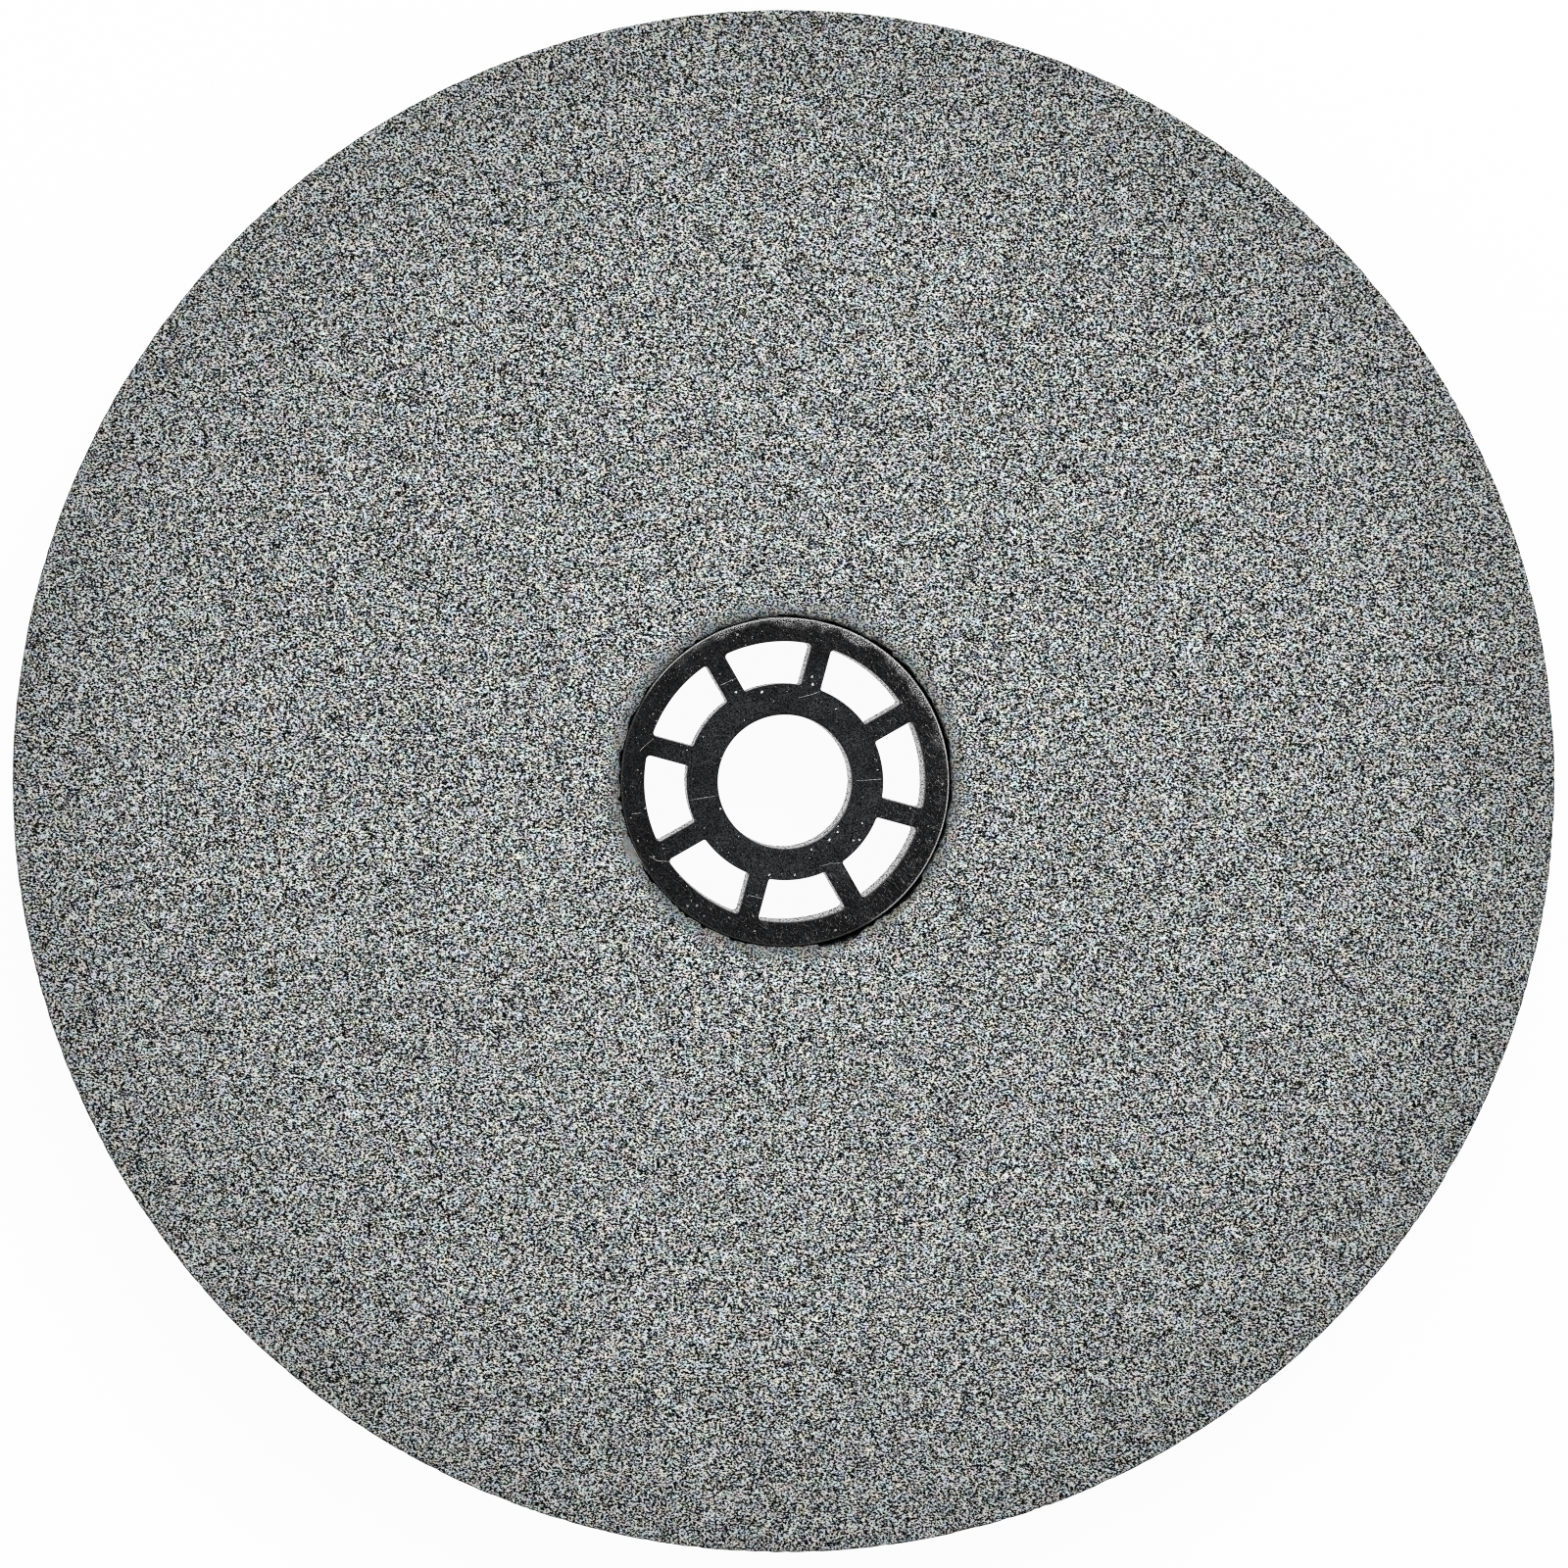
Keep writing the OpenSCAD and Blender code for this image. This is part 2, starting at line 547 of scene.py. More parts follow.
@dataclass(frozen=True)
class VitrifiedAbrasive(Finish):
    """Grey fired grit: salt-and-pepper grains, dark pores, glints, and a faint teal and brown tint."""

    name: str = "vitrified_abrasive"
    wheel_radius: float = 75.0 * MM
    hole_radius: float = 16.15 * MM
    grain: float = 0.13 * MM
    tilt: float = 0.7
    spread: float = 0.155
    brightest: float = 0.985
    gamma: float = 2.5
    mottle_size: float = 2.5 * MM
    mottle: float = 0.12
    border_size: float = 1.5 * MM
    even_width: Floats = (0.4 * MM, 2.0 * MM)
    even_share: float = 0.45
    even_tone: float = 0.55
    smear_azimuth: float = 204.0
    smear_radius: float = 16.35 * MM
    smear_size: Floats = (0.65 * MM, 1.9 * MM)
    smear_rag: float = 0.8
    smear_edge: Fade = Fade(0.7, 1.0, 0.85, 0.0)
    smear_tone: float = 0.68
    patch_size: float = 1.15 * MM
    warmth: float = 0.15
    greenness: float = 0.11
    tint: Floats = (-0.008, 0.006, 0.002)
    # painted shade towards the rim, for light that falls off there: where it starts, as a share of the
    # radius, and its strength
    rim_shade_start: float = 0.6
    painted_rim_shade: float = 0.25
    # a little darker away from the hole
    outward_darkening: Fade = Fade(16.0 * MM, 42.0 * MM, 1.0, 0.955)
    # painted shade on the hole's rounded edge: its width and the share of colour left
    edge_width: float = 0.9 * MM
    edge_shade: float = 0.68
    # painted shade in the hole's wall and the chip
    hollow_shade: float = 0.9
    roughness: float = 0.6
    glint_gloss: float = 0.3
    specular: float = 0.02
    bump: float = 0.9
    bump_depth: float = 0.1 * MM

    def dress(self) -> dict[str, Any]:
        """Colour is the grains' tone plus the tint, to the power of gamma, times the shade.

        Returns:
            The Principled shader's inputs.
        """
        grit = self.effect(bonded_grit_group(), grain=self.grain, tilt=self.tilt, spread=self.spread)
        mottle = self.blobs(self.mottle_size)
        tone = self.smeared(self.evened(grit["Tone"], mottle), mottle)
        colour = self.vector("MAXIMUM", self.vector("ADD", self.patches(), tone))
        light = self.add("ShaderNodeGamma", {"Color": colour, "Gamma": self.gamma}).outputs[0]
        relief = {"Height": grit["Height"], "Normal": grit["Facet"]}
        relief |= {"Strength": self.bump, "Distance": self.bump_depth}
        return {
            "Base Color": self.vector("SCALE", light, self.shade()),
            "Roughness": self.line(grit["Glint"], -self.glint_gloss, self.roughness),
            "Normal": self.add("ShaderNodeBump", relief).outputs[0],
            "Specular IOR Level": self.specular,
        }

    def evened(self, tone: Any, mottle: Any) -> Any:
        """The grains' tone, mottled all over and more even in a wavy band round the hole.

        Args:
            tone: tone of the grains.
            mottle: a wide noise.

        Returns:
            The tone.
        """
        mottled = self.math("ADD", tone, self.line(mottle, self.mottle, -0.5 * self.mottle))
        inner, outer = self.even_width
        band = Fade(self.hole_radius + inner, self.hole_radius + outer, self.even_share, 0.0)
        share = self.fade(self.wavy(self.blobs(self.border_size)), band)
        return self.times(self.between(share, mottled, self.even_tone), self.brightest)

    def smeared(self, tone: Any, mottle: Any) -> Any:
        """The tone with one smooth pale smear by the hole, a ragged ellipse.

        The ellipse is where the root of the sum of two squares stays under 1: the distances out
        from its middle and along the hole, each over the ellipse's half width that way.

        Args:
            tone: tone of the grains.
            mottle: a wide noise, which makes the edge ragged.

        Returns:
            The tone.
        """
        half_out, half_along = self.smear_size
        out = self.line(self.toward(self.smear_azimuth), 1.0 / half_out, -self.smear_radius / half_out)
        along = self.times(self.toward(self.smear_azimuth + 90.0), 1.0 / half_along)
        reach = self.math("SQRT", self.line(out, out, self.times(along, along)))
        ragged = self.math("ADD", reach, self.line(mottle, self.smear_rag, -0.5 * self.smear_rag))
        return self.between(self.fade(ragged, self.smear_edge), tone, self.smear_tone)

    def patches(self) -> Any:
        """Warm, cool and greenish patches: two noises, about zero, shared out to the three colours.

        Returns:
            A colour to add to the tone.
        """
        noise = self.split(self.noise(self.place, 1.0 / self.patch_size)["Color"])
        shares = zip("XYZ", (0, 1, 0), (self.warmth, self.greenness, -self.warmth), self.tint)
        parts = {axis: self.line(noise[at], share, tint - 0.5 * share) for axis, at, share, tint in shares}
        return self.add("ShaderNodeCombineXYZ", parts).outputs[0]

    def shade(self) -> Any:
        """Share of the colour left: painted shade towards the rim, by the square of the distance past
        a share of the radius, for light that falls off there; a little less away from the hole; and
        painted shade on the hole's rounded edge and in hollows.

        Returns:
            The share.
        """
        rim_shade_span = 1.0 - self.rim_shade_start
        past = self.line(self.from_bore, 1.0 / (rim_shade_span * self.wheel_radius), -self.rim_shade_start / rim_shade_span)
        past = self.most(past, 0.0)
        at_edge = Fade(self.hole_radius, self.hole_radius + self.edge_width, self.edge_shade, 1.0)
        return self.times(
            # painted shade towards the rim, for light that falls off there
            self.line(self.times(past, past), -self.painted_rim_shade, 1.0),
            # a little darker away from the hole
            self.fade(self.from_bore, self.outward_darkening),
            # painted shade on the hole's rounded edge
            self.fade(self.from_bore, at_edge),
            # painted shade in the hole's wall and the chip
            self.line(self.stored("hollow"), -self.hollow_shade, 1.0),
        )


@dataclass(frozen=True)
class MouldedPlastic(Finish):
    """Black satin plastic: dust and scuffs at the outer edge, a painted highlight on the rolled rim,
    walls pale with dust and painted light, specks and fine scratches.

    Pairs of an azimuth and a Fade say on which side, and how far over, a mark gets stronger. Specks
    have the spacing of their cells, the share of cells that hold one, and their size in cells.
    """

    name: str = "moulded_black_plastic"
    bush_radius: float = 16.0 * MM
    face_height: float = 15.5 * MM
    black: Floats = (0.0170, 0.0176, 0.0192)
    # one pale colour for dust, the rim's painted highlight and painted light on the walls
    dust_and_light_colour: Floats = (0.30, 0.30, 0.302, 1.0)
    speckle_size: float = 0.11 * MM
    blotch_size: float = 0.17 * MM
    cloud_size: float = 1.6 * MM
    scuffed: tuple[float, Fade] = (70.0, Fade(5.0 * MM, 14.0 * MM))
    scuff_band: Fade = Fade(0.2 * MM, 0.9 * MM, 1.0, 0.0)
    scuff_grit: Fade = Fade(0.52, 0.60, 0.0, 2.8)
    scuff_cutoff: float = 0.56
    scuff_line: Floats = (0.9, 0.02)
    nicked: tuple[float, Fade] = (-35.0, Fade(6.0 * MM, 13.0 * MM, 0.25, 1.25))
    nick_band: Fade = Fade(14.0 * MM, 15.8 * MM, 0.3, 1.0)
    nick_cutoff: float = 0.66
    # painted highlight on the rolled rim: its side toward the key light, its band and its speckle
    highlight_side: tuple[float, Fade] = (45.0, Fade(-4.5 * MM, -1.5 * MM, 0.12, 1.0))
    rim_highlight_band: Fade = Fade(0.25 * MM, 0.5 * MM, 1.0, 0.0)
    rim_highlight_speckle: Fade = Fade(0.35, 0.55, 0.8, 3.2)
    fine: Floats = (0.30 * MM, 0.45, 0.14)
    fine_share: float = 0.85
    coarse: Floats = (0.80 * MM, 0.42, 0.12)
    coarse_share: Fade = Fade(9.0 * MM, 13.0 * MM, 3.0, 1.1)
    scratches: tuple[Floats, ...] = ((0.6, 0.68), (1.0, 0.68), (1.9, 0.70))
    scratch_band: Fade = Fade(7.0 * MM, 15.5 * MM, 0.25, 0.6)
    scratched: tuple[float, Fade] = (-30.0, Fade(-9.0 * MM, 9.0 * MM, 0.35, 1.1))
    # walls paled by dust and by painted light, standing in for light from the white table below
    wall_dust_and_light: Fade = Fade(0.39, 0.47, 0.1, 0.6)
    blotches: Fade = Fade(0.32, 0.70, 0.0, 2.3)
    clouds: Fade = Fade(0.3, 0.7, 0.7, 1.3)
    gloom: Fade = Fade(9.0 * MM, 14.0 * MM, 1.12, 0.5)
    roughness: Fade = Fade(0.0, 0.6, 0.30, 0.8)
    sheen_depth: Fade = Fade(1.5 * MM, 4.0 * MM, 0.12, 1.0)
    drag_size: float = 0.15 * MM
    drag: Fade = Fade(0.38, 0.51, 0.06, 0.82)
    coat_roughness: float = 0.12
    specular: float = 0.05
    wave_size: float = 1.8 * MM
    wave_depth: float = 0.05 * MM
    wave_bump: float = 0.12

    def dress(self) -> dict[str, Any]:
        """Pale colour is laid over the black where any mask is strong: edge dust, the rim's painted
        highlight, specks, scratches, and walls pale with dust and painted light.

        Returns:
            The Principled shader's inputs.
        """
        speckle, cloud = self.blobs(self.speckle_size), self.blobs(self.cloud_size)
        wall = self.stored("wall")
        # dust, the painted rim highlight and painted wall light, in one mask
        dust_and_painted_light = self.most(
            self.edge_dust(speckle, cloud),
            self.dots(),
            self.hairs(),
            # walls: dust and painted light from below
            self.times(wall, self.fade(speckle, self.wall_dust_and_light)),
            # the rim's painted highlight
            self.rim_highlight(speckle),
        )
        wave = {"Height": self.blobs(self.wave_size, 3.0)}
        wave |= {"Strength": self.wave_bump, "Distance": self.wave_depth}
        return {
            "Base Color": self.mixed(dust_and_painted_light, self.black_tone(cloud), self.dust_and_light_colour),
            "Roughness": self.fade(dust_and_painted_light, self.roughness),
            "Normal": self.add("ShaderNodeBump", wave).outputs[0],
            "Specular IOR Level": self.specular,
            "Coat Weight": self.times(wall, self.sheen()),
            "Coat Roughness": self.coat_roughness,
        }

    def edge_dust(self, speckle: Any, cloud: Any) -> Any:
        """Dust in a wavy band at the outer edge, and nicks that run in from it.

        Args:
            speckle: a fine noise.
            cloud: a wide noise.

        Returns:
            A mask.
        """
        inset = self.line(self.wavy(cloud), -1.0, self.bush_radius)
        streaks = self.effect(radial_streak_group(), cutoff=self.scuff_cutoff)[0]
        grit = self.line(self.most(self.fade(speckle, self.scuff_grit), streaks), *self.scuff_line)
        band = self.times(self.fade(inset, self.scuff_band), self.on_side(*self.scuffed), grit)
        nicks = self.effect(radial_streak_group(), cutoff=self.nick_cutoff)[0]
        nicks = self.times(nicks, self.fade(self.from_bore, self.nick_band), self.on_side(*self.nicked))
        return self.most(band, nicks)

    def rim_highlight(self, speckle: Any) -> Any:
        """A painted highlight: a pale line on the rolled outer edge, strongest on the lit side.

        Args:
            speckle: a fine noise.

        Returns:
            A mask.
        """
        inset = self.line(self.from_bore, -1.0, self.bush_radius)
        # painted highlight band, strongest on the lit side
        worn = self.times(self.fade(inset, self.rim_highlight_band), self.on_side(*self.highlight_side))
        return self.times(self.stored("rolled"), worn, self.fade(speckle, self.rim_highlight_speckle))

    def dots(self) -> Any:
        """Fine specks all over, and coarse ones that are palest by the bore.

        Returns:
            A mask.
        """
        fine, coarse = (
            self.effect(speck_group(), spacing=spacing, amount=amount, size=size)[0]
            for spacing, amount, size in (self.fine, self.coarse)
        )
        coarse = self.times(coarse, self.fade(self.from_bore, self.coarse_share))
        return self.most(self.times(fine, self.fine_share), coarse)

    def hairs(self) -> Any:
        """Fine scratches, each set with its own turn in radians and its cutoff.

        Returns:
            A mask.
        """
        lines = [self.effect(hairline_group(), turn=turn, cutoff=cut)[0] for turn, cut in self.scratches]
        band = self.fade(self.from_bore, self.scratch_band)
        return self.times(self.most(*lines), band, self.on_side(*self.scratched))

    def sheen(self) -> Any:
        """Gloss of the walls, strongest deep down, in the upright drag marks of the mould.

        Returns:
            A mask.
        """
        upright = self.vector("MULTIPLY", self.place, (1.0, 1.0, 0.05))
        drawn = self.noise(upright, 1.0 / self.drag_size, 1.0)[0]
        depth = self.line(self.axes["Z"], -1.0, self.face_height)
        return self.times(self.fade(depth, self.sheen_depth), self.fade(drawn, self.drag))

    def black_tone(self, cloud: Any) -> Any:
        """The black, blotched and clouded, and darker towards the outer edge.

        Args:
            cloud: a wide noise.

        Returns:
            The colour.
        """
        blotch = self.fade(self.blobs(self.blotch_size), self.blotches)
        gloom = self.times(blotch, self.fade(cloud, self.clouds), self.fade(self.from_bore, self.gloom))
        return self.vector("SCALE", self.black, gloom)


@dataclass(frozen=True)
class PaleMark(Finish):
    """Dry pale matter on the plastic: weld lines and loose stone dust."""

    name: str = "pale_mark"
    low: Floats = (0.12, 0.12, 0.12, 1.0)
    high: Floats = (0.50, 0.50, 0.48, 1.0)
    patch_size: float = 0.2 * MM
    patches: Fade = Fade(0.35, 0.65)
    roughness: float = 0.7

    def dress(self) -> dict[str, Any]:
        """The colour wanders between the two tones from patch to patch."""
        share = self.fade(self.blobs(self.patch_size, 1.0), self.patches)
        return {"Base Color": self.mixed(share, self.low, self.high), "Roughness": self.roughness}


# The wheel


class Corner(NamedTuple):
    """A rounded corner of the disc's section: a quarter circle, clockwise from the angle start in
    degrees, and the number of steps on it and on the straight run that leads to it."""

    centre: Floats
    radius: float
    start: float
    steps: int
    run_steps: int

    def arc(self) -> tuple[Array, Array]:
        """Points and outward normals of the quarter circle."""
        normals = on_circle(np.radians(self.start - 90.0 * np.linspace(0.0, 1.0, self.steps + 1)))
        return np.array(self.centre) + self.radius * normals, normals


@dataclass
class AbrasiveWheel:
    """The disc: one closed section carried round the bore, with crumbled edges and one chip."""

    finish: Material
    radius: float
    hole_radius: float
    width: float
    rim_edge: float = 0.3 * MM
    hole_edge: float = 0.45 * MM
    chip_reach: float = 0.45 * MM
    chip_share: float = 0.42
    chip_depth: float = 1.2 * MM
    chip_radius: float = 13.6 * MM
    chip_turn: float = math.radians(-47.0)
    chip_jag: float = 0.35 * MM
    jag_cell: float = 0.035
    notch_turn: float = math.radians(-69.0)
    notch_reach: float = 0.5 * MM
    notch_angle: float = 8.0
    noise_cells: Floats = (0.42 * MM, 0.9 * MM, 2.3 * MM)
    relief: float = 0.035 * MM
    rim_wear: Fade = Fade(0.2 * MM, 1.0 * MM, 1.0, 0.0)
    rim_crumbs: Fade = Fade(0.45, 0.95, 0.0, 0.30 * MM)
    hole_wear: Fade = Fade(0.3 * MM, 2.2 * MM, 1.0, 0.0)
    hole_relief: float = 0.10 * MM
    hole_crumbs: Fade = Fade(0.35, 0.9, 0.0, 0.30 * MM)
    worn_way: Floats = (0.8, 0.45)
    worn_side: Fade = Fade(-8.0 * MM, 8.0 * MM)
    least_worn: float = 0.35
    proud: float = 0.135 * MM
    proud_wall: Fade = Fade(0.02 * MM, 0.20 * MM, 1.0, 0.0)
    proud_depth: Fade = Fade(0.4 * MM, 0.9 * MM)
    proud_deep: Fade = Fade(1.8 * MM, 3.0 * MM)
    proud_kept: Fade = Fade(0.05 * MM, 0.35 * MM)
    open_azimuth: float = 25.0
    open_angle: float = 28.0
    open_share: float = 0.6
    turns: int = 1130
    seed: int = 11

    def section(self) -> tuple[Array, Array]:
        """Closed outline of the section and its outward normals, as radius and height.

        Straight runs have steps that crowd at their ends, and each corner is a quarter circle.

        Returns:
            The points and the normals, one row each.
        """
        rim, hole = self.rim_edge, self.hole_edge
        inner, outer = self.hole_radius + hole, self.radius - rim
        corners = (
            Corner((outer, self.width - rim), rim, 90.0, 5, 26),
            Corner((outer, rim), rim, 0.0, 5, 14),
            Corner((inner, hole), hole, -90.0, 4, 18),
            Corner((inner, self.width - hole), hole, -180.0, 8, 8),
        )
        runs = []
        last = corners[-1].arc()[0][-1]
        for corner in corners:
            points, normals = corner.arc()
            line = last + (points[0] - last) * eased(corner.run_steps)[:, None]
            runs.append((line, np.repeat(normals[:1], corner.run_steps, axis=0)))
            runs.append((points[:-1], normals[:-1]))
            last = points[-1]
        return np.concatenate([r[0] for r in runs]), np.concatenate([r[1] for r in runs])

    def chip_edge(self, angle: Array) -> Array:
        """Radius of the chip in each direction: a circle set off the axis, and one deeper notch.

        Args:
            angle: directions in radians.

        Returns:
            The radius in each direction, no less than that of the hole.
        """
        offset = self.hole_radius + self.chip_share * self.chip_reach - self.chip_radius
        turn = angle - self.chip_turn
        inside = np.maximum(self.chip_radius**2 - (offset * np.sin(turn)) ** 2, 0.0)
        from_notch = np.degrees(np.angle(np.exp(1j * (angle - self.notch_turn))))
        notch = self.notch_reach * np.clip(1.25 - np.abs(from_notch) / self.notch_angle, 0.0, 1.0)
        return np.maximum(offset * np.cos(turn) + np.sqrt(inside), self.hole_radius + notch)

    def surface(self) -> Array:
        """Points of the worn disc on a grid of directions by section points.

        A point of the section turns round the axis, is pushed out to the chip's edge where the chip
        reaches it, and sinks along its normal by the depth that crumbled off there.

        Returns:
            One row of x, y, z for each point.
        """
        section, normals = self.section()
        angle = FULL_TURN * np.arange(self.turns) / self.turns
        radius = np.broadcast_to(section[:, 0], (self.turns, len(section))).copy()
        height = np.broadcast_to(section[:, 1], radius.shape)
        ring = np.stack([np.cos(angle), np.sin(angle), 0 * angle], axis=1)
        jag = value_noise(ring, self.jag_cell, self.seed) - 0.5
        scoop = (self.chip_edge(angle) + jag * self.chip_jag)[:, None]
        in_chip = (height > self.width - self.chip_depth) & (scoop > self.hole_radius)
        radius = np.where(in_chip, np.maximum(radius, scoop), radius)
        across, up = np.cos(angle)[:, None], np.sin(angle)[:, None]
        points = np.stack([radius * across, radius * up, height], axis=2).reshape(-1, 3)
        outward = [normals[:, 0] * across, normals[:, 0] * up, normals[:, 1] + 0 * across]
        outward = np.stack(outward, axis=2).reshape(-1, 3)
        return points - outward * self.crumbled(points, radius.ravel())[:, None]

    def hollow(self, points: Array) -> Array:
        """How deep in shade each point lies: the hole's wall and the chip, least on the left side.

        Args:
            points: the places on the whole surface.

        Returns:
            A share from 0 to 1 for each.
        """
        radius = np.hypot(points[:, 0], points[:, 1])
        by_hole = radius < self.hole_radius + self.chip_reach + 0.1 * MM
        shaded_side = Fade(-0.7 * self.hole_radius, 0.1 * self.hole_radius, 0.15, 1.0)
        deep = Fade(0.5 * MM, 1.1 * MM).of(self.width - points[:, 2])
        return by_hole * deep * shaded_side.of(points[:, 0] + 0.3 * points[:, 1])

    def crumbled(self, points: Array, radius: Array) -> Array:
        """Depth lost at each point: fine grain all over, and more at the corners of rim and hole.

        In the hole the grain stands proud instead, so that it nearly touches the bush: all round
        deep down, and up to the edge on the side that is less worn.

        Args:
            points: the places on the whole surface.
            radius: their distance from the axis.

        Returns:
            The depth in metres, less than nothing where grain stands proud.
        """
        side = np.minimum(points[:, 2], self.width - points[:, 2])
        at_rim = self.rim_wear.of(np.hypot(self.radius - radius, side))
        at_hole = self.hole_wear.of(np.hypot(radius - self.hole_radius, side))
        fine, middle, wide = (
            value_noise(points, cell, self.seed + number) for number, cell in enumerate(self.noise_cells, 1)
        )
        worn = self.worn_side.of(points[:, :2] @ np.array(self.worn_way))
        lost = self.relief * fine + at_rim * self.rim_crumbs.of(middle * 0.6 + fine * 0.4)
        crumbs = self.hole_relief * fine + self.hole_crumbs.of(wide * 0.5 + middle * 0.5)
        lost += at_hole * crumbs * (self.least_worn + (1.0 - self.least_worn) * worn)
        azimuth = np.degrees(np.arctan2(points[:, 1], points[:, 0]))
        open_gap = np.exp(-(((azimuth - self.open_azimuth) / self.open_angle) ** 2))
        proud = self.proud_depth.of(side) * (1.0 - self.open_share * open_gap)
        proud = np.maximum(proud, self.proud_deep.of(side))
        proud = np.maximum(proud, (1.0 - worn) * self.proud_kept.of(side))
        return lost - self.proud_wall.of(radius - self.hole_radius) * self.proud * proud

    def build(self) -> None:
        """Makes the disc, which stands for the CAD node of the same form."""
        points = self.surface()
        faces = grid_quads(self.turns, len(points) // self.turns, True)
        piece = new_piece("abrasive_body", points, faces, self.finish, hollow=self.hollow(points))
        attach(piece, "root")
        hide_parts("abrasive_wheel")
        log.info("%s: %d faces", piece.name, len(piece.data.polygons))


# The bush


@dataclass(frozen=True)
class Outline:
    """A closed flat outline with, at each point, the direction into the material beside it."""

    points: Array
    inward: Array

    def turned(self, angle: float) -> "Outline":
        """The same outline turned about the axis of the bore."""
        turn = on_circle(np.array([angle, angle + math.pi / 2]))
        return Outline(self.points @ turn, self.inward @ turn)


def arc_run(centre: Array, radius: float, start: float, end: float, steps: int) -> Outline:
    """An arc as an open run of points: the centre plus the radius times the direction.

    Args:
        centre: centre of the arc.
        radius: its radius.
        start: angle of the first point, in radians.
        end: angle where the run stops, without a point of its own.
        steps: number of points.

    Returns:
        The run, with the material outside the arc.
    """
    outward = on_circle(start + (end - start) * np.arange(steps) / steps)
    return Outline(centre + radius * outward, outward)


@dataclass
class ReducingBush:
    """The moulding: a ring and a hub joined by spokes, with rolled edges and a flat front and rear."""

    finish: Material
    radius: float
    low: float
    high: float
    lead_in: float = 0.25 * MM
    lead_in_power: float = 1.7
    edge_roll: float = 0.08 * MM
    ring_wall: float = 2.3 * MM
    hub_radius: float = 9.55 * MM
    bore_radius: float = 6.55 * MM
    spokes: int = 8
    spoke_width: float = 1.9 * MM
    first_spoke: float = math.radians(29.75)
    ring_fillet: float = 0.4 * MM
    hub_fillet: float = 0.25 * MM
    rim_steps: int = 360
    bore_steps: int = 200
    edge_steps: int = 6

    def window(self) -> Outline:
        """Outline of the window whose middle lies along +X.

        The upper half runs from the ring over a fillet, down the flank of the spoke and over a
        second fillet to the hub. Each fillet's centre stands one fillet radius off both sides that
        it touches. The lower half is the mirror image.

        Returns:
            The closed outline, anticlockwise.
        """
        window_radius = self.radius - self.ring_wall
        ring_centre = self.fillet_centre(window_radius - self.ring_fillet, self.ring_fillet)
        hub_centre = self.fillet_centre(self.hub_radius + self.hub_fillet, self.hub_fillet)
        ring_turn = math.atan2(ring_centre[1], ring_centre[0])
        hub_turn = math.atan2(hub_centre[1], hub_centre[0])
        square_on = math.pi / self.spokes + math.pi / 2
        across = on_circle(np.array([square_on]))
        top, foot = ring_centre + self.ring_fillet * across, hub_centre + self.hub_fillet * across
        origin, flank_steps = np.zeros(2), 12
        hub = arc_run(origin, self.hub_radius, hub_turn, 0.0, 12)
        runs = (
            arc_run(origin, window_radius, 0.0, ring_turn, 16),
            arc_run(ring_centre, self.ring_fillet, ring_turn, square_on, 7),
            Outline(
                top + (foot - top) * (np.arange(flank_steps) / flank_steps)[:, None],
                np.repeat(across, flank_steps, axis=0),
            ),
            arc_run(hub_centre, self.hub_fillet, square_on, hub_turn + math.pi, 6),
            Outline(hub.points, -hub.inward),
            Outline(np.array([[self.hub_radius, 0.0]]), np.array([[-1.0, 0.0]])),
        )
        half = np.concatenate([np.hstack([run.points, run.inward]) for run in runs])
        whole = np.concatenate([half, half[-2:0:-1] * np.array([1.0, -1.0, 1.0, -1.0])])
        return Outline(whole[:, :2], whole[:, 2:])

    def fillet_centre(self, reach: float, fillet: float) -> Array:
        """Centre of a fillet beside the spoke: one fillet radius off its flank, so that a right
        triangle gives its place along the spoke.

        Args:
            reach: its distance from the axis.
            fillet: its radius.

        Returns:
            Its x and y.
        """
        rise = self.spoke_width / 2 + fillet
        run = math.sqrt(reach * reach - rise * rise)
        cos, sin = math.cos(math.pi / self.spokes), math.sin(math.pi / self.spokes)
        return np.array([run * cos + rise * sin, run * sin - rise * cos])

    def outlines(self) -> list[tuple[Outline, float]]:
        """Every outline of the moulding with the size of its edge: rim, bore, then the windows.

        Returns:
            The outlines, each with its size.
        """
        rim = arc_run(np.zeros(2), self.radius, 0.0, FULL_TURN, self.rim_steps)
        bore = arc_run(np.zeros(2), self.bore_radius, 0.0, FULL_TURN, self.bore_steps)
        window, pitch = self.window(), FULL_TURN / self.spokes
        turns = [self.first_spoke + (number + 0.5) * pitch for number in range(self.spokes)]
        rows = [(Outline(rim.points, -rim.inward), self.lead_in), (bore, self.lead_in)]
        return rows + [(window.turned(turn), self.edge_roll) for turn in turns]

    def edge_section(self, size: float, straightness: float) -> Array:
        """Quarter of a superellipse: how far in from the wall and down from the face, row by row.

        Args:
            size: how far the edge reaches both ways.
            straightness: the power, 2 for a round edge and near 1 for a chamfer.

        Returns:
            One row of inset and drop for each step.
        """
        turn = np.linspace(0.0, math.pi / 2, self.edge_steps + 1)
        power = 2.0 / straightness
        return size * (1.0 - np.stack([np.sin(turn) ** power, np.cos(turn) ** power], axis=1))

